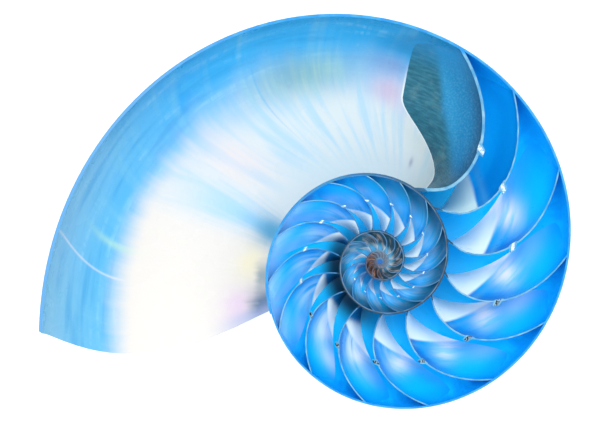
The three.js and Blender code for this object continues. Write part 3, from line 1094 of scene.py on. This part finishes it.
@finish("outside", OUTSIDE_RELIEF)
def outside_pearl():
    angle, share, _ = painted("growth")
    spot = painted("spot")
    line = growth_line(angle, share)
    streak = lined(line, share, *OUTSIDE_LINES)
    broad = lined(line, share, *OUTSIDE_BANDS)
    mottle = clouded(spot, OUTSIDE_MOTTLE)
    grain = clouded(spot, OUTSIDE_GRAIN)
    tint = blend(OUTSIDE_BLUE, OUTSIDE_PALE, ease(broad, *PALE_BANDS))
    tint = blend(tint, FLANK_WHITE, fade(share, *FLANK_SHARE) * mix(0.3, 0.9, broad))
    tint = blend(tint, ROSE_CLOUD, ease(mottle, *ROSE_MOTTLE) * 0.35)
    tint = blend(tint, GREEN_CLOUD, stretch(mottle, *GREEN_MOTTLE) * 0.3)
    tint = blend(tint, DARK_STREAK, ease(streak, *DARK_STREAKS) * 0.35)
    tint = blend(tint, LIGHT_STREAK, stretch(streak, *LIGHT_STREAKS) * 0.25)
    return tint, mix(*OUTSIDE_POLISH, mottle), streak + grain * 0.3


def coil_stretch(start, end, steps):
    cells = block(*COIL_CELLS, steps, "outside")
    turn = mix(OVERSHOOT, UMBILICUS_TURN, around)
    angle = bowed_angle(mix(start, end, along), turn)
    x, y = section(turn, 0)
    return bent(cells, angle, x, mix(overshoot_y(), y, across), 0, 0, 0)


inner_coil = coil_stretch(COIL_FROM, COIL_JOIN, INNER_STEPS)
outer_coil = coil_stretch(COIL_JOIN, size("Lip"), OUTER_STEPS)

# The plug: a low dome of callus, of the same pearl, that the animal laid over the umbilicus. It is
# a ball with its upper half spread to a block with steep sides, buried in the coil.
PLUG_RADIUS = 11.5
PLUG_DEPTH = 12.5
PLUG_RIM = 6
PLUG_SIDES = 64
PLUG_RINGS = 32
PLUG_SQUARENESS = 0.85
ball = add_node("GeometryNodeMeshUVSphere", PLUG_SIDES, PLUG_RINGS, 1)
ball_x, ball_y, ball_z = parted(add_node("GeometryNodeInputPosition").outputs[0])
buried = above(ball_z, 0)
spread = mix(1, most(hypot(ball_x, ball_y), WELD) ** -PLUG_SQUARENESS, buried) * PLUG_RADIUS
plug_z = ball_z * mix(PLUG_DEPTH - PLUG_RIM, PLUG_RIM + 1, buried) - PLUG_RIM
plug_place = joined(ball_x * spread, ball_y * spread, plug_z)
plug = add_node("GeometryNodeSetPosition", ball.outputs["Mesh"], None, plug_place).outputs[0]
plug = finished(plug, "outside")

# The siphon necks: short white funnels, each grown back from its septum, that carried the siphon
# from room to room. A few still hold dark shreds of it.
SIZES["Neck at"] = 0.53
NECK_WALL = 0.009
NECK_LENGTH = 0.03
NECK_COLLAR = 0.01
BORE_ROOT = 0.013
BORE_TIP = 0.006
BORE_OVERRUN = 0.03
NECKED_RADIUS = 12
NECK_CELLS = (3, 16, 4)
NECK_TURNS = (-20, 200)
NECK_RELIEF = 0.1
NECK_ROUGHNESS = 0.35
NECK_GRAIN = 2
NECK_GREY = colour("7f9fb0")
NECK_WHITE = colour("c4d2d8")
NECK_GRAINS = (0.3, 0.6)
SHRED_RELIEF = 0.2
SHRED_ROUGHNESS = 0.5
SHRED_GRAIN = 2.2
SHREDDED_STRETCH = ((-155, -125), (8, 20))
BORE_BLUE = colour("6f9cb8")
BORE_WHITE = colour("dbe7ee")
BORE_GRAINS = (0.35, 0.65)
SHRED_BLACK = colour("101a22")
SHRED_GRAINS = (0.42, 0.52)


@finish("neck", NECK_RELIEF)
def neck_pearl():
    grain = clouded(painted("spot"), NECK_GRAIN)
    return blend(NECK_GREY, NECK_WHITE, ease(grain, *NECK_GRAINS)), NECK_ROUGHNESS, grain


@finish("siphon", SHRED_RELIEF)
def siphon_shreds():
    _, septum_angle, _ = painted("septum")
    grain = clouded(painted("spot"), SHRED_GRAIN)
    pale = blend(BORE_BLUE, BORE_WHITE, ease(grain, *BORE_GRAINS))
    shreds = ease(grain, *SHRED_GRAINS) * stretch(septum_angle, *SHREDDED_STRETCH)
    return blend(pale, SHRED_BLACK, shreds), SHRED_ROUGHNESS, grain


neck_x = mix(dorsum(), 1, size("Neck at"))


def siphon_cone(root, tip, ahead, behind, finish_name):
    cells = seeded(above(own_radius, NECKED_RADIUS), block(*NECK_CELLS, finish_name))
    turn = mix(*NECK_TURNS, around)
    radius = mix(tip, root, along) * across
    x = neck_x + radius * cos(turn)
    y = radius * sin(turn) + overshoot_y() * (1 - across)
    lead = septum_lead(x, most(y, 0), *own_bend) - mix(behind, -ahead, along) / neck_x / DEGREE
    return bent(cells, own_angle + lead, x, y, lead, own_angle, 0)


necks = siphon_cone(BORE_ROOT + NECK_WALL, BORE_TIP + NECK_WALL, NECK_COLLAR, NECK_LENGTH, "neck")
bores = siphon_cone(BORE_ROOT, BORE_TIP, BORE_OVERRUN, NECK_LENGTH + BORE_OVERRUN, "siphon")

# The saw cut along the plane of symmetry: bare edges of pearl, ice blue on the outer whorl and a
# duller grey brown toward the first rooms. The rooms are cut out of the coil, the necks are set in
# and bored, and the saw takes all above the plane.
WASTE = (400, 400, 40)
EDGE_RELIEF = 0.05
EDGE_ROUGHNESS = 0.4
EDGE_GRAIN = 2
EDGE_MOTTLE = 0.25
GRAIN_LAYER = 5
MOTTLE_LAYER = 9
WALL_EDGE_STRETCH = ((-0.03, -0.015), (0.07, 0.08))
OUTER_LINE = (-0.012, -0.004)
FAR_LEFT = (25, 85)
OLD_WALL_RADII = (22, 36)
OLD_SEPTUM_RADII = (16, 28)
HEART_RADII = (3, 8)
NUCLEUS_RADII = (0.6, 1.2)
HEART_SIDE = (-0.8, -0.6)
HEART_CHANGE = (-1, 1.5)
SEPTUM_EDGE = colour("3d7fa6")
SEPTUM_EDGE_PALE = colour("6d9ab0")
SEPTUM_EDGE_MOTTLE = (0.35, 0.65)
WALL_EDGE = colour("1878b8")
WALL_EDGE_PALE = colour("3088ba")
WALL_EDGE_MOTTLE = (0.4, 0.65)
LEFT_EDGE = colour("4f88b8")
OLD_WALL_GREY = colour("64747c")
OLD_WALL_BROWN = colour("3a3430")
OLD_WALL_MOTTLE = (0.35, 0.6)
OLD_WALL_LINE = colour("14181a")
OLD_SEPTUM_EDGE = colour("1d5c90")
HEART_GREY = colour("56707f")
HEART_BROWN = colour("43302a")
NUCLEUS_BLUE = colour("0e4f8e")


@finish("sawn edge", EDGE_RELIEF)
def sawn_pearl():
    x, y, _ = painted("spot")
    radius = hypot(x, y)
    grain = cloud(x * EDGE_GRAIN, y * EDGE_GRAIN, GRAIN_LAYER)
    mottle = cloud(x * EDGE_MOTTLE, y * EDGE_MOTTLE, MOTTLE_LAYER)
    grown = work("LOGARITHM", radius / SIZES["Venter radius"], math.e) / SIZES["Growth per radian"]
    whorl = work("FRACT", (grown - work("ARCTAN2", y, x)) / FULL_TURN + 0.5) - 0.5
    in_wall = stretch(whorl, *WALL_EDGE_STRETCH)
    tint = blend(SEPTUM_EDGE, SEPTUM_EDGE_PALE, ease(mottle, *SEPTUM_EDGE_MOTTLE))
    wall = blend(WALL_EDGE, WALL_EDGE_PALE, ease(mottle, *WALL_EDGE_MOTTLE))
    tint = blend(tint, wall, in_wall)
    tint = blend(tint, LEFT_EDGE, ease(x * -1, *FAR_LEFT) * in_wall)
    old_wall = blend(OLD_WALL_GREY, OLD_WALL_BROWN, ease(mottle, *OLD_WALL_MOTTLE))
    old_wall = blend(old_wall, OLD_WALL_LINE, ease(whorl, *OUTER_LINE))
    tint = blend(tint, old_wall, fade(radius, *OLD_WALL_RADII) * in_wall * 0.9)
    tint = blend(tint, OLD_SEPTUM_EDGE, fade(radius, *OLD_SEPTUM_RADII) * (1 - in_wall) * 0.85)
    brown_side = x * HEART_SIDE[0] + y * HEART_SIDE[1]
    heart = blend(HEART_GREY, HEART_BROWN, ease(brown_side, *HEART_CHANGE))
    tint = blend(tint, heart, fade(radius, *HEART_RADII) * mix(0.6, 0.95, mottle))
    tint = blend(tint, NUCLEUS_BLUE, fade(radius, *NUCLEUS_RADII))
    return tint, EDGE_ROUGHNESS, grain


def boolean(operation, first, *others):
    node = add_node("GeometryNodeMeshBoolean", operation=operation, solver="MANIFOLD")
    if first:
        feed(node.inputs["Mesh 1"], first)
    for other in others:
        feed(node.inputs["Mesh 2"], other)
    return node.outputs["Mesh"]


waste = add_node("GeometryNodeTransform", add_node("GeometryNodeMeshCube", WASTE).outputs["Mesh"])
waste.inputs["Translation"].default_value = (0, 0, WASTE[2] / 2)
sawdust = finished(waste.outputs[0], "sawn edge")
filled = boolean("UNION", None, inner_coil, outer_coil, plug)
hollowed = boolean("DIFFERENCE", filled, chambers, living)
necked = boolean("UNION", None, hollowed, necks)
half = boolean("DIFFERENCE", necked, bores, sawdust)
half = store(half, "spot", add_node("GeometryNodeInputPosition").outputs[0], "POINT", "FLOAT_VECTOR")
half = add_node("GeometryNodeRealizeInstances", half).outputs[0]
for number, material in enumerate(finishes.values()):
    chosen = work("COMPARE", Number(attribute("finish")), number, 0.5)
    half = add_node("GeometryNodeSetMaterial", half, chosen, material).outputs[0]
add_node("NodeGroupOutput", half)
trees.pop()

shell = bpy.data.objects.new("shell_half_pearl", seeds)
bpy.context.collection.objects.link(shell)
modifier = shell.modifiers.new("growth", "NODES")
modifier.node_group = growth
for item in growth.interface.items_tree:
    if item.name in SIZES:
        modifier[item.identifier] = SIZES[item.name]
grown = bpy.data.meshes.new_from_object(shell.evaluated_get(bpy.context.evaluated_depsgraph_get()))
shell.modifiers.remove(modifier)
shell.data = grown

# The cuts leave specks, points in the middle of straight edges, and faces of many sides
SPECK = 0.002
net = bmesh.new()
net.from_mesh(grown)
bmesh.ops.dissolve_degenerate(net, edges=net.edges, dist=SPECK)
bmesh.ops.dissolve_verts(net, verts=[point for point in net.verts if len(point.link_edges) == 2])
bmesh.ops.triangulate(net, faces=net.faces, quad_method="BEAUTY", ngon_method="BEAUTY")
net.to_mesh(grown)
net.free()

# The half as it lies: loose on its rounded flank with the sawn face up, so that the face leans. It
# takes the lean of the frame's sawn face, and its box is set over the middle of the frame's.
SMOOTH_BELOW = 38
sawn_normal = Vector(frame["record"]["mounts"][0]["axis"])
lean = Vector((0, 0, 1)).rotation_difference(sawn_normal).to_matrix().to_4x4()
grown.transform(lean @ Matrix.Scale(MILLIMETRE, 4))


def middle_of(corners):
    return Vector([(min(side) + max(side)) / 2 for side in zip(*corners)])


coil_centre = middle_of(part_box("shell_half")) - middle_of([vertex.co for vertex in grown.vertices])
grown.transform(Matrix.Translation(coil_centre))
grown.shade_smooth()
grown.set_sharp_from_angle(angle=SMOOTH_BELOW * DEGREE)
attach(shell, "root")
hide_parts("shell_half")

# The floor: a plain white sheet, wide enough to pass out of every view. It is matt, so that the
# shell leaves only a soft shadow on it. Lengths are metres from here on.
FLOOR_SIDE = 6
SHEET_WHITE = (0.9, 0.9, 0.9, 1)
SHEET_ROUGHNESS = 0.9
bpy.ops.mesh.primitive_plane_add(size=FLOOR_SIDE)
floor = bpy.context.object
floor.name = "floor"
floor_paint = bpy.data.materials.new("white sheet")
floor_paint.use_nodes = True
floor_shader = floor_paint.node_tree.nodes["Principled BSDF"]
floor_shader.inputs["Base Color"].default_value = SHEET_WHITE
floor_shader.inputs["Roughness"].default_value = SHEET_ROUGHNESS
floor.data.materials.append(floor_paint)
floor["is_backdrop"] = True

# The light: a white room that is brightest in a ring and a round patch overhead, and one broad soft
# lamp high on the right. Heights go from 0 at the horizon to 1 overhead.
ROOM_LIGHT = 0.45
RING_LIGHT = 1.8
RING_AT = (0.7, 0.25)
PATCH_LIGHT = 0.9
PATCH_AT = (1, 0.15)
LAMP_SIDE = 0.6
LAMP_POWER = 4
LAMP_AT = Vector((0.35, 0.35, 1))
world = bpy.data.worlds.new("white room")
world.use_nodes = True
background = world.node_tree.nodes["Background"]
background.inputs["Color"].default_value = (1, 1, 1, 1)
trees.append(world.node_tree)
height = parted(add_node("ShaderNodeTexCoord").outputs["Generated"])[2]
strength = ROOM_LIGHT + hump(height, *RING_AT) * RING_LIGHT + hump(height, *PATCH_AT) * PATCH_LIGHT
feed(background.inputs["Strength"], strength)
trees.pop()
bpy.context.scene.world = world
lamp_light = bpy.data.lights.new("soft lamp", "AREA")
lamp_light.size = LAMP_SIDE
lamp_light.energy = LAMP_POWER
lamp = bpy.data.objects.new("soft lamp", lamp_light)
lamp.location = LAMP_AT
lamp.rotation_euler = (-lamp.location).to_track_quat("-Z", "Y").to_euler()
bpy.context.collection.objects.link(lamp)

# The camera looks straight at the saw cut, from far enough to keep the spiral true. The width of
# the picture is taken at the sawn face, and its centre is given from the middle of the spiral.
CAMERA_DISTANCE = 0.8
PICTURE_WIDTH = 0.1917
PICTURE_CENTRE = Vector((-0.0232, 0.0148, 0))
SENSOR_WIDTH = 36
view = bpy.data.cameras.new("camera")
view.sensor_width = SENSOR_WIDTH
view.lens = view.sensor_width * CAMERA_DISTANCE / PICTURE_WIDTH
camera = bpy.data.objects.new("camera", view)
bpy.context.collection.objects.link(camera)
aim = coil_centre + lean.to_3x3() @ PICTURE_CENTRE
camera.matrix_world = Matrix.Translation(aim + sawn_normal * CAMERA_DISTANCE) @ lean
bpy.context.scene.camera = camera
bpy.context.scene.view_settings.view_transform = "Standard"

boxes = {"cad": cad_box, "visual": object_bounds()}
